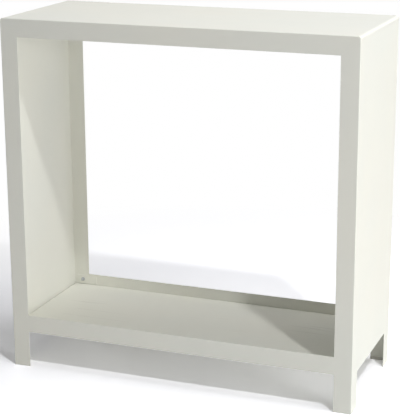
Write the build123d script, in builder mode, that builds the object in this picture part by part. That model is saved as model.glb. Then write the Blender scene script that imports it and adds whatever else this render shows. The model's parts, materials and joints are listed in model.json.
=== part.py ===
from build123d import *
import os

# Firewood rack: a knock-down carcass of folded sheet steel, open at the front and the back.
# Millimetres. X is the width, Y the depth with the front at -Y, and Z is up from the floor.

# Overall size.
WIDTH = 1000.0
DEPTH = 400.0
HEIGHT = 1000.0

# Sheet and folds. A radius is that of the outside of a fold.
SHEET = 1.5
FOLD_RADIUS = 2.5
CORNER_RADIUS = 8.0

# Front and rear frames. The seam runs straight for a little below the round top bend.
STILE_WIDTH = 50.0
TOP_RAIL_HEIGHT = 50.0
BOTTOM_RAIL_HEIGHT = 50.0
SEAM_STRAIGHT = 2.0
HAIRLINE = 0.1

# Legs.
LEG_DEPTH = 50.0
LEG_CUTOUT_HEIGHT = 103.5

# Bottom rails: how far they start above the legs' cut-outs, and their tabs behind the stiles.
RAIL_RISE = 1.5
RAIL_TAB_OVERLAP = 25.0
RAIL_TAB_INSET = 8.5
RAIL_TAB_DROP = 5.0
RAIL_TAB_RISE = 2.0
RAIL_TAB_CORNER = 3.0

# Bearers: angles inside the side panels that the shelf lies on.
BEARER_WIDTH = 30.0
BEARER_HEIGHT = 16.0
BEARER_RADIUS = 3.0
BEARER_END_GAP = 15.0

# Shelf: a pan turned upside down. Its ends are folded back in where it lies on the bearers.
SHELF_HEIGHT = 16.5
SHELF_END_GAP = 0.3
SHELF_RETURN_WIDTH = 20.0
SHELF_RETURN_LENGTH = 300.0
FOLD_RELIEF = 2.0

# Hat-shaped stiffeners under the shelf.
STIFFENER_SHEET = 1.2
STIFFENER_WIDTH = 30.0
STIFFENER_DEPTH = 10.0
STIFFENER_BRIM = 12.0
STIFFENER_RADIUS = 2.2
STIFFENER_SPACING = 140.0
STIFFENER_END_GAP = 4.0

# Angles and plates that join the top panel to the side panels.
BRACKET_SHEET = 2.0
ANGLE_LEG = 44.0
ANGLE_END_GAP = 2.0
ANGLE_STUD_INSET = 28.0
ANGLE_STUD_SPACING = 140.0
PLATE_ARM_WIDTH = 32.0
PLATE_ARM_LENGTH = 86.0
PLATE_INSET = 6.0
PLATE_CORNER_RADIUS = 5.0
PLATE_STUD_SPACING = 28.0

# M5 weld studs and their flange nuts. Clearances are on the radius.
STUD_DIAMETER = 5.0
STUD_LENGTH = 12.0
STUD_COLLAR_DIAMETER = 6.5
STUD_COLLAR_THICKNESS = 0.8
STUD_TIP_CHAMFER = 0.5
STUD_HOLE_CLEARANCE = 0.25
STUD_NUT_ACROSS_FLATS = 8.0
STUD_NUT_FLANGE_DIAMETER = 11.8
STUD_NUT_FLANGE_THICKNESS = 1.2
STUD_NUT_HEIGHT = 5.0

# M6 button-head bolts that hold the shelf down on the bearers, and their flange nuts.
BOLT_DIAMETER = 6.0
BOLT_LENGTH = 12.0
BOLT_HEAD_DIAMETER = 10.5
BOLT_HEAD_HEIGHT = 3.3
BOLT_HEAD_RADIUS = 2.4
BOLT_SOCKET_ACROSS_FLATS = 4.0
BOLT_SOCKET_DEPTH = 2.0
BOLT_HOLE_CLEARANCE = 0.3
BOLT_SPACING = 120.0
BOLT_NUT_ACROSS_FLATS = 10.0
BOLT_NUT_FLANGE_DIAMETER = 14.2
BOLT_NUT_FLANGE_THICKNESS = 1.4
BOLT_NUT_HEIGHT = 6.0

# All nuts.
NUT_CHAMFER = 0.5
THREAD_GAP = 0.05

# Edge glides under the legs.
GLIDE_THICKNESS = 1.5
GLIDE_WALL = 1.5
GLIDE_WALL_HEIGHT = 7.5

# Length by which a cutting shape passes what it cuts.
OVERCUT = 20.0

# Faces and heights that several pieces share.
HALF_WIDTH = WIDTH / 2
HALF_DEPTH = DEPTH / 2
WEB_INSIDE = HALF_WIDTH - SHEET
FRAME_INSIDE = HALF_DEPTH - SHEET
TOP_INSIDE = HEIGHT - SHEET
WINDOW_HALF_WIDTH = HALF_WIDTH - STILE_WIDTH
WINDOW_TOP = HEIGHT - TOP_RAIL_HEIGHT
SEAM_HEIGHT = HEIGHT - CORNER_RADIUS - SEAM_STRAIGHT
LEG_GAP_HALF = HALF_DEPTH - LEG_DEPTH
SHELF_BOTTOM = LEG_CUTOUT_HEIGHT + BRACKET_SHEET
SHELF_TOP = SHELF_BOTTOM + SHELF_HEIGHT
SHELF_END = WEB_INSIDE - BEARER_RADIUS - SHELF_END_GAP
RAIL_BOTTOM = LEG_CUTOUT_HEIGHT + RAIL_RISE
RAIL_TOP = RAIL_BOTTOM + BOTTOM_RAIL_HEIGHT
RAIL_END = WINDOW_HALF_WIDTH - HAIRLINE
TAB_START = WINDOW_HALF_WIDTH - RAIL_TAB_OVERLAP
TAB_END = WEB_INSIDE - RAIL_TAB_INSET
TAB_BOTTOM = SHELF_TOP + RAIL_TAB_RISE
TAB_TOP = RAIL_TOP - RAIL_TAB_DROP
ANGLE_HALF_LENGTH = FRAME_INSIDE - BRACKET_SHEET - ANGLE_END_GAP
STUD_HOLE_RADIUS = STUD_COLLAR_DIAMETER / 2 + STUD_HOLE_CLEARANCE
BOLT_HOLE_RADIUS = BOLT_DIAMETER / 2 + BOLT_HOLE_CLEARANCE
BOLT_GRIP = BRACKET_SHEET + SHEET


def carcass_block(inset, bottom):
    """Solid block in the carcass's outside shape, drawn in by inset on its top, sides and both faces."""
    with BuildPart() as block:
        with BuildSketch(Plane.XZ) as face:
            with BuildLine():
                Polyline(
                    (-HALF_WIDTH + inset, bottom),
                    (-HALF_WIDTH + inset, HEIGHT - inset),
                    (HALF_WIDTH - inset, HEIGHT - inset),
                    (HALF_WIDTH - inset, bottom),
                    close=True,
                )
            make_face()
            fillet(face.vertices().group_by(Axis.Y)[-1], CORNER_RADIUS - inset)
        extrude(amount=HALF_DEPTH - inset, both=True)
        outline = block.faces().filter_by(Axis.Y).edges()
        fillet(outline.filter_by(lambda edge: edge.center().Z > bottom + SHEET), FOLD_RADIUS - inset)
    return block.part


def folded_section(plane, points, thickness, radius, side):
    """Section of a folded strip: one surface runs along points, and the sheet lies to the side given."""
    with BuildSketch(plane) as section:
        with BuildLine():
            surface = FilletPolyline(*points, radius=radius)
            offset(surface, amount=thickness, side=side)
        make_face()
    return section.sketch


def seam_points(lift):
    """Right half of the seam under the top panel, from the window's corner outwards, raised by lift."""
    return [
        (WINDOW_HALF_WIDTH, WINDOW_TOP + lift),
        (WEB_INSIDE, SEAM_HEIGHT + lift),
        (HALF_WIDTH + OVERCUT, SEAM_HEIGHT + lift),
    ]


def shelf_block(inset, bottom):
    """Right half of a block in the shelf's outside shape, drawn in by inset on its top and sides."""
    with BuildPart() as block:
        with BuildSketch(Plane.XY.offset(bottom)):
            RectangleRounded(
                2 * (SHELF_END - inset), 2 * (FRAME_INSIDE - inset), FOLD_RADIUS - inset
            )
        extrude(amount=SHELF_TOP - inset - bottom)
        fillet(block.edges().group_by(Axis.Z)[-1], FOLD_RADIUS - inset)
        split(bisect_by=Plane.YZ)
    return block.part


def leg_angle(inset, thickness):
    """Plan of an L that follows the right rear leg, inset from the leg's outside."""
    corner_x = HALF_WIDTH - inset
    corner_y = HALF_DEPTH - inset
    with BuildSketch() as angle:
        with BuildLine():
            Polyline(
                (WINDOW_HALF_WIDTH, corner_y),
                (corner_x, corner_y),
                (corner_x, LEG_GAP_HALF),
                (corner_x - thickness, LEG_GAP_HALF),
                (corner_x - thickness, corner_y - thickness),
                (WINDOW_HALF_WIDTH, corner_y - thickness),
                close=True,
            )
        make_face()
        fillet(angle.vertices().sort_by(lambda point: point.X + point.Y)[-1], FOLD_RADIUS - inset)
    return angle.sketch


def weld_stud():
    """Stud along +Z with its welded collar at the origin."""
    with BuildPart() as stud:
        Cylinder(STUD_DIAMETER / 2, STUD_LENGTH, align=(Align.CENTER, Align.CENTER, Align.MIN))
        chamfer(stud.edges().sort_by(Axis.Z)[-1], STUD_TIP_CHAMFER)
        Cylinder(
            STUD_COLLAR_DIAMETER / 2,
            STUD_COLLAR_THICKNESS,
            align=(Align.CENTER, Align.CENTER, Align.MIN),
        )
    return stud.part


def flange_nut(thread_diameter, across_flats, flange_diameter, flange_thickness, height):
    """Hexagon flange nut along +Z with its flange at the origin."""
    with BuildPart() as nut:
        with BuildSketch():
            RegularPolygon(across_flats / 2, 6, major_radius=False)
        extrude(amount=height)
        chamfer(nut.edges().group_by(Axis.Z)[-1], NUT_CHAMFER)
        Cylinder(flange_diameter / 2, flange_thickness, align=(Align.CENTER, Align.CENTER, Align.MIN))
        with Locations((0, 0, height)):
            Hole(thread_diameter / 2 + THREAD_GAP, depth=height)
    return nut.part


def button_head_bolt():
    """Bolt whose head stands on the origin and whose shank points down -Z."""
    with BuildPart() as bolt:
        Cylinder(BOLT_HEAD_DIAMETER / 2, BOLT_HEAD_HEIGHT, align=(Align.CENTER, Align.CENTER, Align.MIN))
        fillet(bolt.edges().sort_by(Axis.Z)[-1], BOLT_HEAD_RADIUS)
        with BuildSketch(Plane.XY.offset(BOLT_HEAD_HEIGHT)):
            RegularPolygon(BOLT_SOCKET_ACROSS_FLATS / 2, 6, major_radius=False)
        extrude(amount=-BOLT_SOCKET_DEPTH, mode=Mode.SUBTRACT)
        Cylinder(BOLT_DIAMETER / 2, BOLT_LENGTH, align=(Align.CENTER, Align.CENTER, Align.MAX))
    return bolt.part


def raised(planes, height):
    """The planes, each moved along its own Z by height."""
    return [plane.offset(height) for plane in planes]


def frame_planes(points):
    """Planes on the inside of the rear frame at points (X, Z), each facing the front."""
    return [Plane((x, FRAME_INSIDE, z), z_dir=(0, -1, 0)) for x, z in points]


# Where the studs start in the right half, on the inner face of the sheet that carries them.
# Those on the frames are given for the rear and mirrored to the front.
stud_rows = (-ANGLE_STUD_SPACING, 0, ANGLE_STUD_SPACING)
top_studs = [
    Plane((WEB_INSIDE - ANGLE_STUD_INSET, y, TOP_INSIDE), z_dir=(0, 0, -1)) for y in stud_rows
]
web_studs = [
    Plane((WEB_INSIDE, y, TOP_INSIDE - ANGLE_STUD_INSET), z_dir=(-1, 0, 0)) for y in stud_rows
]

plate_right = WEB_INSIDE - PLATE_INSET
plate_top = TOP_INSIDE - PLATE_INSET
stud_to_corner = PLATE_ARM_LENGTH - PLATE_ARM_WIDTH / 2
stud_steps = (stud_to_corner, stud_to_corner - PLATE_STUD_SPACING)
rail_studs = frame_planes([(plate_right - step, plate_top - PLATE_ARM_WIDTH / 2) for step in stud_steps])
stile_studs = frame_planes([(plate_right - PLATE_ARM_WIDTH / 2, plate_top - step) for step in stud_steps])
tab_studs = frame_planes([((WINDOW_HALF_WIDTH + TAB_END) / 2, (TAB_BOTTOM + TAB_TOP) / 2)])

# Where the shelf's bolts of the right half go in from below, and where their nuts lie in the shelf.
bolt_x = SHELF_END - SHELF_RETURN_WIDTH / 2
bolt_rows = (-BOLT_SPACING, 0, BOLT_SPACING)
bolt_planes = [Plane((bolt_x, y, LEG_CUTOUT_HEIGHT), z_dir=(0, 0, -1)) for y in bolt_rows]
bolt_nut_planes = [Plane((bolt_x, y, LEG_CUTOUT_HEIGHT + BOLT_GRIP)) for y in bolt_rows]

os.makedirs("parts", exist_ok=True)

# The carcass's skin, which the top panel and the side panels are cut from.
with BuildPart() as skin:
    add(carcass_block(0, GLIDE_THICKNESS))
    add(carcass_block(SHEET, -OVERCUT), mode=Mode.SUBTRACT)

# Top panel: a web, a front and a rear rail with mitred ends, and round bends down to the sides.
with BuildPart() as top_panel:
    add(skin.part)
    with BuildSketch(Plane.XZ):
        with BuildLine():
            Polyline(
                *[(-x, z) for x, z in reversed(seam_points(0))],
                *seam_points(0),
                (HALF_WIDTH + OVERCUT, HEIGHT + OVERCUT),
                (-HALF_WIDTH - OVERCUT, HEIGHT + OVERCUT),
                close=True,
            )
        make_face()
    extrude(amount=HALF_DEPTH + OVERCUT, both=True, mode=Mode.INTERSECT)
top_panel.part.label = "top_panel"
export_step(top_panel.part, "parts/top_panel.step")

# Side panel: a web, and two stiles that run down into the legs.
with BuildPart() as right_side_panel:
    add(skin.part)
    with BuildSketch(Plane.XZ):
        with BuildLine():
            Polyline(
                *seam_points(-HAIRLINE),
                (HALF_WIDTH + OVERCUT, -OVERCUT),
                (WINDOW_HALF_WIDTH, -OVERCUT),
                close=True,
            )
        make_face()
    extrude(amount=HALF_DEPTH + OVERCUT, both=True, mode=Mode.INTERSECT)
    with BuildSketch(Plane.YZ.offset(HALF_WIDTH)):
        Rectangle(2 * LEG_GAP_HALF, LEG_CUTOUT_HEIGHT, align=(Align.CENTER, Align.MIN))
    extrude(amount=-STILE_WIDTH, mode=Mode.SUBTRACT)
right_side_panel.part.label = "right_side_panel"
export_step(right_side_panel.part, "parts/right_side_panel.step")

with BuildPart() as left_side_panel:
    mirror(right_side_panel.part, about=Plane.YZ)
left_side_panel.part.label = "left_side_panel"
export_step(left_side_panel.part, "parts/left_side_panel.step")

# Bottom rails: a strip flush with the stiles, and a tab behind each stile.
with BuildPart() as rear_bottom_rail:
    with BuildSketch(Plane.XZ.offset(-HALF_DEPTH)):
        with Locations((0, RAIL_BOTTOM)):
            Rectangle(2 * RAIL_END, BOTTOM_RAIL_HEIGHT, align=(Align.CENTER, Align.MIN))
    extrude(amount=SHEET)
    with BuildSketch(Plane.XZ.offset(-FRAME_INSIDE)):
        with Locations(((TAB_START + TAB_END) / 2, (TAB_BOTTOM + TAB_TOP) / 2)):
            RectangleRounded(TAB_END - TAB_START, TAB_TOP - TAB_BOTTOM, RAIL_TAB_CORNER)
    extrude(amount=SHEET)
    with Locations(*tab_studs):
        Cylinder(STUD_HOLE_RADIUS, 3 * SHEET, mode=Mode.SUBTRACT)
    mirror(about=Plane.YZ)
rear_bottom_rail.part.label = "rear_bottom_rail"
export_step(rear_bottom_rail.part, "parts/rear_bottom_rail.step")

with BuildPart() as front_bottom_rail:
    mirror(rear_bottom_rail.part, about=Plane.XZ)
front_bottom_rail.part.label = "front_bottom_rail"
export_step(front_bottom_rail.part, "parts/front_bottom_rail.step")

# Bearers: angles that lie with one leg against a side panel's web, level with its cut-out.
with BuildPart() as right_shelf_bearer:
    bearer = folded_section(
        Plane.XZ,
        [
            (WEB_INSIDE, LEG_CUTOUT_HEIGHT + BEARER_HEIGHT),
            (WEB_INSIDE, LEG_CUTOUT_HEIGHT),
            (WEB_INSIDE - BEARER_WIDTH, LEG_CUTOUT_HEIGHT),
        ],
        BRACKET_SHEET,
        BEARER_RADIUS,
        Side.RIGHT,
    )
    extrude(bearer, amount=FRAME_INSIDE - BEARER_END_GAP, both=True)
    with Locations(*bolt_planes):
        Cylinder(BOLT_HOLE_RADIUS, 3 * BOLT_GRIP, mode=Mode.SUBTRACT)
right_shelf_bearer.part.label = "right_shelf_bearer"
export_step(right_shelf_bearer.part, "parts/right_shelf_bearer.step")

with BuildPart() as left_shelf_bearer:
    mirror(right_shelf_bearer.part, about=Plane.YZ)
left_shelf_bearer.part.label = "left_shelf_bearer"
export_step(left_shelf_bearer.part, "parts/left_shelf_bearer.step")

# Shelf pan: the right half is shelled, slit and folded back in at its end, then mirrored.
with BuildPart() as shelf_pan:
    add(shelf_block(0, SHELF_BOTTOM))
    add(shelf_block(SHEET, SHELF_BOTTOM - OVERCUT), mode=Mode.SUBTRACT)
    with BuildSketch(Plane.XY.offset(SHELF_BOTTOM)):
        with Locations((SHELF_END, 0)):
            Rectangle(2 * FOLD_RADIUS, SHELF_RETURN_LENGTH + 2 * FOLD_RELIEF)
    extrude(amount=FOLD_RADIUS, mode=Mode.SUBTRACT)
    end_return = folded_section(
        Plane.XZ,
        [
            (SHELF_END, SHELF_BOTTOM + 2 * FOLD_RADIUS),
            (SHELF_END, SHELF_BOTTOM),
            (SHELF_END - SHELF_RETURN_WIDTH, SHELF_BOTTOM),
        ],
        SHEET,
        FOLD_RADIUS,
        Side.RIGHT,
    )
    extrude(end_return, amount=SHELF_RETURN_LENGTH / 2, both=True)
    with Locations(*bolt_planes):
        Cylinder(BOLT_HOLE_RADIUS, 3 * BOLT_GRIP, mode=Mode.SUBTRACT)
    mirror(about=Plane.YZ)
shelf_pan.part.label = "shelf_pan"
export_step(shelf_pan.part, "parts/shelf_pan.step")

# Shelf stiffeners: hat channels along the underside of the shelf's floor.
stiffener_middle = STIFFENER_SPACING / 2
stiffener_top = SHELF_TOP - SHEET
with BuildPart() as rear_shelf_stiffener:
    hat = folded_section(
        Plane.YZ,
        [
            (stiffener_middle - STIFFENER_WIDTH / 2 - STIFFENER_BRIM, stiffener_top),
            (stiffener_middle - STIFFENER_WIDTH / 2, stiffener_top),
            (stiffener_middle - STIFFENER_WIDTH / 2, stiffener_top - STIFFENER_DEPTH),
            (stiffener_middle + STIFFENER_WIDTH / 2, stiffener_top - STIFFENER_DEPTH),
            (stiffener_middle + STIFFENER_WIDTH / 2, stiffener_top),
            (stiffener_middle + STIFFENER_WIDTH / 2 + STIFFENER_BRIM, stiffener_top),
        ],
        STIFFENER_SHEET,
        STIFFENER_RADIUS,
        Side.RIGHT,
    )
    extrude(hat, amount=SHELF_END - SHEET - STIFFENER_END_GAP, both=True)
rear_shelf_stiffener.part.label = "rear_shelf_stiffener"
export_step(rear_shelf_stiffener.part, "parts/rear_shelf_stiffener.step")

with BuildPart() as front_shelf_stiffener:
    mirror(rear_shelf_stiffener.part, about=Plane.XZ)
front_shelf_stiffener.part.label = "front_shelf_stiffener"
export_step(front_shelf_stiffener.part, "parts/front_shelf_stiffener.step")

# Corner angles: they run along the inside of the two round top bends.
with BuildPart() as right_corner_angle:
    bend = folded_section(
        Plane.XZ,
        [
            (WEB_INSIDE, TOP_INSIDE - ANGLE_LEG),
            (WEB_INSIDE, TOP_INSIDE),
            (WEB_INSIDE - ANGLE_LEG, TOP_INSIDE),
        ],
        BRACKET_SHEET,
        CORNER_RADIUS,
        Side.LEFT,
    )
    extrude(bend, amount=ANGLE_HALF_LENGTH, both=True)
    with Locations(*top_studs, *web_studs):
        Cylinder(STUD_HOLE_RADIUS, 3 * BRACKET_SHEET, mode=Mode.SUBTRACT)
right_corner_angle.part.label = "right_corner_angle"
export_step(right_corner_angle.part, "parts/right_corner_angle.step")

with BuildPart() as left_corner_angle:
    mirror(right_corner_angle.part, about=Plane.YZ)
left_corner_angle.part.label = "left_corner_angle"
export_step(left_corner_angle.part, "parts/left_corner_angle.step")

# Corner plates: L-shaped, behind the four mitred corners of the frames.
with BuildPart() as rear_right_corner_plate:
    with BuildSketch(Plane.XZ.offset(-FRAME_INSIDE)) as plate_outline:
        with BuildLine():
            Polyline(
                (plate_right - PLATE_ARM_LENGTH, plate_top),
                (plate_right, plate_top),
                (plate_right, plate_top - PLATE_ARM_LENGTH),
                (plate_right - PLATE_ARM_WIDTH, plate_top - PLATE_ARM_LENGTH),
                (plate_right - PLATE_ARM_WIDTH, plate_top - PLATE_ARM_WIDTH),
                (plate_right - PLATE_ARM_LENGTH, plate_top - PLATE_ARM_WIDTH),
                close=True,
            )
        make_face()
        fillet(plate_outline.vertices(), PLATE_CORNER_RADIUS)
    extrude(amount=BRACKET_SHEET)
    with Locations(*rail_studs, *stile_studs):
        Cylinder(STUD_HOLE_RADIUS, 3 * BRACKET_SHEET, mode=Mode.SUBTRACT)
rear_right_corner_plate.part.label = "rear_right_corner_plate"
export_step(rear_right_corner_plate.part, "parts/rear_right_corner_plate.step")

with BuildPart() as rear_left_corner_plate:
    mirror(rear_right_corner_plate.part, about=Plane.YZ)
rear_left_corner_plate.part.label = "rear_left_corner_plate"
export_step(rear_left_corner_plate.part, "parts/rear_left_corner_plate.step")

with BuildPart() as front_right_corner_plate:
    mirror(rear_right_corner_plate.part, about=Plane.XZ)
front_right_corner_plate.part.label = "front_right_corner_plate"
export_step(front_right_corner_plate.part, "parts/front_right_corner_plate.step")

with BuildPart() as front_left_corner_plate:
    mirror(rear_left_corner_plate.part, about=Plane.XZ)
front_left_corner_plate.part.label = "front_left_corner_plate"
export_step(front_left_corner_plate.part, "parts/front_left_corner_plate.step")

# Weld studs, one group for each panel that carries them.
with BuildPart() as top_panel_studs:
    with Locations(*rail_studs):
        add(weld_stud())
    mirror(about=Plane.XZ)
    with Locations(*top_studs):
        add(weld_stud())
    mirror(about=Plane.YZ)
top_panel_studs.part.label = "top_panel_studs"
export_step(top_panel_studs.part, "parts/top_panel_studs.step")

with BuildPart() as right_panel_studs:
    with Locations(*stile_studs, *tab_studs):
        add(weld_stud())
    mirror(about=Plane.XZ)
    with Locations(*web_studs):
        add(weld_stud())
right_panel_studs.part.label = "right_panel_studs"
export_step(right_panel_studs.part, "parts/right_panel_studs.step")

with BuildPart() as left_panel_studs:
    mirror(right_panel_studs.part, about=Plane.YZ)
left_panel_studs.part.label = "left_panel_studs"
export_step(left_panel_studs.part, "parts/left_panel_studs.step")

# Flange nuts on the studs, one group for each kind of piece that they hold.
stud_nut = flange_nut(
    STUD_DIAMETER,
    STUD_NUT_ACROSS_FLATS,
    STUD_NUT_FLANGE_DIAMETER,
    STUD_NUT_FLANGE_THICKNESS,
    STUD_NUT_HEIGHT,
)
with BuildPart() as corner_angle_nuts:
    with Locations(*raised(top_studs + web_studs, BRACKET_SHEET)):
        add(stud_nut)
    mirror(about=Plane.YZ)
corner_angle_nuts.part.label = "corner_angle_nuts"
export_step(corner_angle_nuts.part, "parts/corner_angle_nuts.step")

with BuildPart() as corner_plate_nuts:
    with Locations(*raised(rail_studs + stile_studs, BRACKET_SHEET)):
        add(stud_nut)
    mirror(about=Plane.XZ)
    mirror(about=Plane.YZ)
corner_plate_nuts.part.label = "corner_plate_nuts"
export_step(corner_plate_nuts.part, "parts/corner_plate_nuts.step")

with BuildPart() as rail_tab_nuts:
    with Locations(*raised(tab_studs, SHEET)):
        add(stud_nut)
    mirror(about=Plane.XZ)
    mirror(about=Plane.YZ)
rail_tab_nuts.part.label = "rail_tab_nuts"
export_step(rail_tab_nuts.part, "parts/rail_tab_nuts.step")

# Shelf bolts up through the bearers and the shelf's folded ends, and their nuts inside the shelf.
with BuildPart() as shelf_bolts:
    with Locations(*bolt_planes):
        add(button_head_bolt())
    mirror(about=Plane.YZ)
shelf_bolts.part.label = "shelf_bolts"
export_step(shelf_bolts.part, "parts/shelf_bolts.step")

bolt_nut = flange_nut(
    BOLT_DIAMETER,
    BOLT_NUT_ACROSS_FLATS,
    BOLT_NUT_FLANGE_DIAMETER,
    BOLT_NUT_FLANGE_THICKNESS,
    BOLT_NUT_HEIGHT,
)
with BuildPart() as shelf_bolt_nuts:
    with Locations(*bolt_nut_planes):
        add(bolt_nut)
    mirror(about=Plane.YZ)
shelf_bolt_nuts.part.label = "shelf_bolt_nuts"
export_step(shelf_bolt_nuts.part, "parts/shelf_bolt_nuts.step")

# Leg glides: a lip under the sheet's edge and a low wall on the leg's inside.
with BuildPart() as rear_right_glide:
    extrude(leg_angle(0, SHEET + GLIDE_WALL), amount=GLIDE_THICKNESS)
    extrude(leg_angle(SHEET, GLIDE_WALL), amount=GLIDE_THICKNESS + GLIDE_WALL_HEIGHT)
rear_right_glide.part.label = "rear_right_glide"
export_step(rear_right_glide.part, "parts/rear_right_glide.step")

with BuildPart() as rear_left_glide:
    mirror(rear_right_glide.part, about=Plane.YZ)
rear_left_glide.part.label = "rear_left_glide"
export_step(rear_left_glide.part, "parts/rear_left_glide.step")

with BuildPart() as front_right_glide:
    mirror(rear_right_glide.part, about=Plane.XZ)
front_right_glide.part.label = "front_right_glide"
export_step(front_right_glide.part, "parts/front_right_glide.step")

with BuildPart() as front_left_glide:
    mirror(rear_left_glide.part, about=Plane.XZ)
front_left_glide.part.label = "front_left_glide"
export_step(front_left_glide.part, "parts/front_left_glide.step")
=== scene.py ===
import json
import math

import bpy
from mathutils import Matrix, Vector


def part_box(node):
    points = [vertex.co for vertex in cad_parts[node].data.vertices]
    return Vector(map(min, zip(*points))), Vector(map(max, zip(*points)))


# Firewood rack of folded, powder-coated sheet steel on a pale studio floor.
# Metres. X is the width, Y the depth with the front at -Y, and Z is up from the floor.

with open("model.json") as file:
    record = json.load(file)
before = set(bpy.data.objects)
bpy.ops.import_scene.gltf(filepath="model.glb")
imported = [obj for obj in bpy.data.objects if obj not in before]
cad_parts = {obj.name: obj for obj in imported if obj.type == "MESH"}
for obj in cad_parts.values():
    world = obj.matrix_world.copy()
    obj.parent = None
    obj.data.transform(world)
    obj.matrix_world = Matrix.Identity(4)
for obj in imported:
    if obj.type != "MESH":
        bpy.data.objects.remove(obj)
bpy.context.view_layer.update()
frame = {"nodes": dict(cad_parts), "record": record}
nodes = frame["nodes"]
shelf_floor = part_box("shelf_pan")[1].z

# Colours are linear.
PAINT = (0.845, 0.838, 0.765)
PAINT_COOL = (0.820, 0.825, 0.765)
PAINT_SCUFF = (0.560, 0.545, 0.500)
ZINC = (0.600, 0.615, 0.640)
ZINC_DARK = (0.430, 0.445, 0.470)
GLIDE = (0.700, 0.690, 0.640)
WHITE = (1.0, 1.0, 1.0)

# Half the thickness of the layer at the shelf's top face that takes the scuffs.
SCUFF_LAYER = 0.0005

# The floor that the camera sees is over 1, so it comes out white where the lamps reach it.
FLOOR_SEEN = (1.520, 1.525, 1.590)
FLOOR_BOUNCE = (1.000, 1.000, 0.990)
FLOOR_GLOW = 0.086
FLOOR_WIDTH = 60.0

# Distances from the rack's middle over which the floor turns white to the camera.
FLOOR_FADE_START = 0.9
FLOOR_FADE_END = 1.7

# Camera: angles in degrees, lens and sensor in millimetres.
CAMERA_PLACE = (1.3326, -3.4319, 1.5012)
CAMERA_YAW = 21.2475
CAMERA_DOWN = 15.711
CAMERA_ROLL = -0.288
CAMERA_LENS = 118.45
CAMERA_SENSOR = 36.0

# Square lamps: place, width and power, all aimed at the same target.
LAMP_TARGET = (0.0, 0.0, 0.5)
KEY = ((2.6, -2.35, 5.0), 0.25, 96.0)
LOW_FILL = ((8.0, -4.0, 0.9), 2.5, 275.0)
SIDE_FILL = ((7.0, -1.2, 1.6), 3.0, 112.0)
OVERHEAD = ((0.8, 0.3, 4.0), 2.0, 58.0)
REAR_FILL = ((-8.0, 5.0, 1.0), 3.0, 160.0)
SKY_STRENGTH = 0.10


def add_node(tree, kind, **values):
    """New node of that kind, with the named inputs set."""
    node = tree.nodes.new(kind)
    for name, value in values.items():
        node.inputs[name.replace("_", " ")].default_value = value
    return node


def new_material(name):
    """Material with its node tree and its Principled shader."""
    material = bpy.data.materials.new(name)
    material.use_nodes = True
    tree = material.node_tree
    return material, tree, tree.nodes["Principled BSDF"]


def noise(tree, scale, detail, stretch=(1, 1, 1)):
    """Noise over the piece's own coordinates, with stretch as a further scale on each axis."""
    place = add_node(tree, "ShaderNodeTexCoord")
    mapping = add_node(tree, "ShaderNodeMapping", Scale=stretch)
    texture = add_node(tree, "ShaderNodeTexNoise", Scale=scale, Detail=detail)
    tree.links.new(place.outputs["Object"], mapping.inputs["Vector"])
    tree.links.new(mapping.outputs["Vector"], texture.inputs["Vector"])
    return texture.outputs["Fac"]


def remap(tree, value, low, high, to_low, to_high):
    """value moved from the range low to high into the range to_low to to_high, and held there."""
    node = add_node(tree, "ShaderNodeMapRange")
    node.inputs["From Min"].default_value = low
    node.inputs["From Max"].default_value = high
    node.inputs["To Min"].default_value = to_low
    node.inputs["To Max"].default_value = to_high
    tree.links.new(value, node.inputs["Value"])
    return node.outputs["Result"]


def multiply(tree, first, second):
    """Product of two values."""
    node = tree.nodes.new("ShaderNodeMath")
    node.operation = "MULTIPLY"
    tree.links.new(first, node.inputs[0])
    tree.links.new(second, node.inputs[1])
    return node.outputs["Value"]


def mix_colour(tree, factor, first, second):
    """Mix of two colours, each a tuple or a node's output."""
    node = tree.nodes.new("ShaderNodeMix")
    node.data_type = "RGBA"
    tree.links.new(factor, node.inputs[0])
    for socket, colour in ((node.inputs[6], first), (node.inputs[7], second)):
        if isinstance(colour, tuple):
            socket.default_value = (*colour, 1.0)
        else:
            tree.links.new(colour, socket)
    return node.outputs[2]


def bump(tree, height, strength, distance, under=None):
    """Bump from a height, on top of another bump if one is given."""
    node = add_node(tree, "ShaderNodeBump", Strength=strength, Distance=distance)
    tree.links.new(height, node.inputs["Height"])
    if under:
        tree.links.new(under, node.inputs["Normal"])
    return node.outputs["Normal"]


def powder_coat():
    """Off-white powder coat: fine orange peel, faint changes of tone, and scuffs on top of the shelf."""
    material, tree, shader = new_material("powder_coat")
    tone = remap(tree, noise(tree, 2.6, 3), 0.35, 0.65, 0.0, 1.0)
    speck = remap(tree, noise(tree, 700, 2), 0.62, 0.80, 0.0, 0.22)
    colour = mix_colour(tree, tone, PAINT, PAINT_COOL)
    colour = mix_colour(tree, speck, colour, PAINT_SCUFF)

    place = add_node(tree, "ShaderNodeTexCoord")
    height = add_node(tree, "ShaderNodeSeparateXYZ")
    tree.links.new(place.outputs["Object"], height.inputs["Vector"])
    layer_top = shelf_floor + SCUFF_LAYER
    layer_bottom = shelf_floor - SCUFF_LAYER
    below = remap(tree, height.outputs["Z"], layer_top, shelf_floor + 8 * SCUFF_LAYER, 1.0, 0.0)
    above = remap(tree, height.outputs["Z"], layer_bottom - SCUFF_LAYER, layer_bottom, 0.0, 1.0)
    scratches = remap(tree, noise(tree, 9, 4, (0.5, 14, 1)), 0.60, 0.66, 0.0, 0.35)
    rubbed = remap(tree, noise(tree, 7, 5), 0.48, 0.72, 0.0, 1.0)
    scuffs = multiply(tree, multiply(tree, below, above), multiply(tree, scratches, rubbed))
    colour = mix_colour(tree, scuffs, colour, PAINT_SCUFF)
    tree.links.new(colour, shader.inputs["Base Color"])

    gloss = remap(tree, noise(tree, 16, 4), 0.3, 0.7, 0.54, 0.64)
    tree.links.new(gloss, shader.inputs["Roughness"])
    peel = bump(tree, noise(tree, 420, 3), 0.16, 0.0006)
    grain = bump(tree, noise(tree, 1500, 2), 0.10, 0.0003, peel)
    tree.links.new(grain, shader.inputs["Normal"])
    return material


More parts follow.
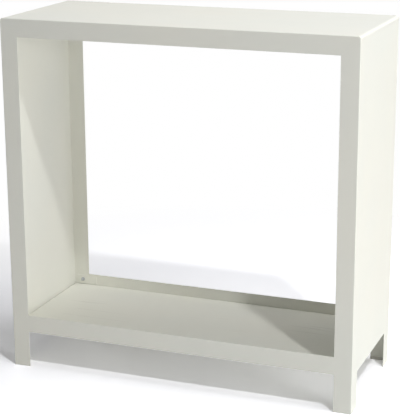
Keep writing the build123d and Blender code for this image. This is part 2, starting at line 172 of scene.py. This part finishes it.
def zinc_bracket():
    """Zinc-plated sheet: a soft metallic grey with cloudy patches and a rolled grain."""
    material, tree, shader = new_material("zinc_bracket")
    shader.inputs["Metallic"].default_value = 1.0
    cloud = remap(tree, noise(tree, 38, 5), 0.35, 0.68, 0.0, 1.0)
    tree.links.new(mix_colour(tree, cloud, ZINC, ZINC_DARK), shader.inputs["Base Color"])
    gloss = remap(tree, noise(tree, 90, 4), 0.3, 0.7, 0.34, 0.52)
    tree.links.new(gloss, shader.inputs["Roughness"])
    grain = bump(tree, noise(tree, 60, 4, (1, 30, 1)), 0.15, 0.0002)
    tree.links.new(grain, shader.inputs["Normal"])
    return material


def zinc_fastener():
    """Bright zinc on bolts, nuts and studs, duller where it has been handled."""
    material, tree, shader = new_material("zinc_fastener")
    shader.inputs["Metallic"].default_value = 1.0
    dull = remap(tree, noise(tree, 260, 4), 0.42, 0.70, 0.0, 1.0)
    tree.links.new(mix_colour(tree, dull, ZINC, ZINC_DARK), shader.inputs["Base Color"])
    gloss = remap(tree, noise(tree, 400, 3), 0.3, 0.7, 0.24, 0.42)
    tree.links.new(gloss, shader.inputs["Roughness"])
    grain = bump(tree, noise(tree, 900, 3), 0.12, 0.0002)
    tree.links.new(grain, shader.inputs["Normal"])
    return material


def glide_plastic():
    """Pale grey moulded plastic with a fine spark-eroded grain."""
    material, tree, shader = new_material("glide_plastic")
    tone = remap(tree, noise(tree, 55, 3), 0.35, 0.65, 0.0, 0.5)
    tree.links.new(mix_colour(tree, tone, GLIDE, PAINT_SCUFF), shader.inputs["Base Color"])
    gloss = remap(tree, noise(tree, 300, 3), 0.3, 0.7, 0.50, 0.62)
    tree.links.new(gloss, shader.inputs["Roughness"])
    grain = bump(tree, noise(tree, 1200, 2), 0.20, 0.0003)
    tree.links.new(grain, shader.inputs["Normal"])
    return material


def dress_nodes():
    """Each CAD node gets the material of its slot in the record."""
    materials = {
        "powder_coat": powder_coat(),
        "zinc_bracket": zinc_bracket(),
        "zinc_fastener": zinc_fastener(),
        "glide_plastic": glide_plastic(),
    }
    for part in frame["record"]["subparts"]:
        piece = nodes[part["node"]]
        piece.data.materials.clear()
        piece.data.materials.append(materials[part["material_slot"]])


def studio_floor():
    """Pale floor: lighter to the camera, and white to it beyond the rack's shadow."""
    bpy.ops.mesh.primitive_plane_add(size=FLOOR_WIDTH, location=(0, 0, 0))
    floor = bpy.context.object
    floor.name = "studio_floor"
    material = bpy.data.materials.new("studio_floor")
    material.use_nodes = True
    tree = material.node_tree
    tree.nodes.clear()
    path = add_node(tree, "ShaderNodeLightPath")
    bounce = add_node(tree, "ShaderNodeBsdfDiffuse", Color=(*FLOOR_BOUNCE, 1.0))
    seen = add_node(tree, "ShaderNodeBsdfDiffuse", Color=(*FLOOR_SEEN, 1.0))
    glow = add_node(tree, "ShaderNodeEmission", Strength=FLOOR_GLOW)
    white = add_node(tree, "ShaderNodeEmission", Strength=1.0)
    place = add_node(tree, "ShaderNodeTexCoord")
    distance = tree.nodes.new("ShaderNodeVectorMath")
    distance.operation = "LENGTH"
    tree.links.new(place.outputs["Object"], distance.inputs[0])
    far = remap(tree, distance.outputs["Value"], FLOOR_FADE_START, FLOOR_FADE_END, 0.0, 1.0)
    lit = tree.nodes.new("ShaderNodeAddShader")
    faded = tree.nodes.new("ShaderNodeMixShader")
    chosen = tree.nodes.new("ShaderNodeMixShader")
    output = tree.nodes.new("ShaderNodeOutputMaterial")
    tree.links.new(seen.outputs[0], lit.inputs[0])
    tree.links.new(glow.outputs[0], lit.inputs[1])
    tree.links.new(far, faded.inputs["Fac"])
    tree.links.new(lit.outputs[0], faded.inputs[1])
    tree.links.new(white.outputs[0], faded.inputs[2])
    tree.links.new(path.outputs["Is Camera Ray"], chosen.inputs["Fac"])
    tree.links.new(bounce.outputs[0], chosen.inputs[1])
    tree.links.new(faded.outputs[0], chosen.inputs[2])
    tree.links.new(chosen.outputs[0], output.inputs["Surface"])
    floor.data.materials.append(material)


def studio_world():
    """Even pale light from all round, which the camera and reflections see as white."""
    world = bpy.data.worlds.new("studio")
    bpy.context.scene.world = world
    world.use_nodes = True
    tree = world.node_tree
    tree.nodes.clear()
    path = add_node(tree, "ShaderNodeLightPath")
    straight = tree.nodes.new("ShaderNodeMath")
    straight.operation = "MAXIMUM"
    through = tree.nodes.new("ShaderNodeMath")
    through.operation = "MAXIMUM"
    light = add_node(tree, "ShaderNodeBackground", Color=(*WHITE, 1.0), Strength=SKY_STRENGTH)
    white = add_node(tree, "ShaderNodeBackground", Color=(*WHITE, 1.0), Strength=1.0)
    chosen = tree.nodes.new("ShaderNodeMixShader")
    output = tree.nodes.new("ShaderNodeOutputWorld")
    tree.links.new(path.outputs["Is Camera Ray"], straight.inputs[0])
    tree.links.new(path.outputs["Is Glossy Ray"], straight.inputs[1])
    tree.links.new(straight.outputs[0], through.inputs[0])
    tree.links.new(path.outputs["Is Transmission Ray"], through.inputs[1])
    tree.links.new(through.outputs[0], chosen.inputs["Fac"])
    tree.links.new(light.outputs[0], chosen.inputs[1])
    tree.links.new(white.outputs[0], chosen.inputs[2])
    tree.links.new(chosen.outputs[0], output.inputs["Surface"])


def add_lamp(name, place, width, power):
    """Square lamp at that place, aimed at the rack."""
    lamp = bpy.data.objects.new(name, bpy.data.lights.new(name, "AREA"))
    lamp.data.shape = "SQUARE"
    lamp.data.size = width
    lamp.data.energy = power
    lamp.location = place
    lamp.rotation_mode = "QUATERNION"
    lamp.rotation_quaternion = (Vector(LAMP_TARGET) - Vector(place)).to_track_quat("-Z", "Y")
    bpy.context.scene.collection.objects.link(lamp)


def studio_lamps():
    """Small key high at the front right, broad fills low at the right and rear left, one overhead."""
    add_lamp("key", *KEY)
    add_lamp("low_fill", *LOW_FILL)
    add_lamp("side_fill", *SIDE_FILL)
    add_lamp("overhead", *OVERHEAD)
    add_lamp("rear_fill", *REAR_FILL)


def studio_camera():
    """Camera where the photograph was taken from."""
    camera = bpy.data.objects.new("camera", bpy.data.cameras.new("camera"))
    camera.data.lens = CAMERA_LENS
    camera.data.sensor_width = CAMERA_SENSOR
    camera.data.clip_start = 0.05
    camera.data.clip_end = 100.0
    turn = Matrix.Rotation(math.radians(CAMERA_YAW), 4, "Z")
    tilt = Matrix.Rotation(math.radians(90.0 - CAMERA_DOWN), 4, "X")
    roll = Matrix.Rotation(math.radians(CAMERA_ROLL), 4, "Z")
    camera.matrix_world = Matrix.Translation(CAMERA_PLACE) @ turn @ tilt @ roll
    bpy.context.scene.collection.objects.link(camera)
    bpy.context.scene.camera = camera


dress_nodes()
studio_floor()
studio_world()
studio_lamps()
studio_camera()

bpy.context.scene.view_settings.view_transform = "Standard"

bpy.context.view_layer.update()
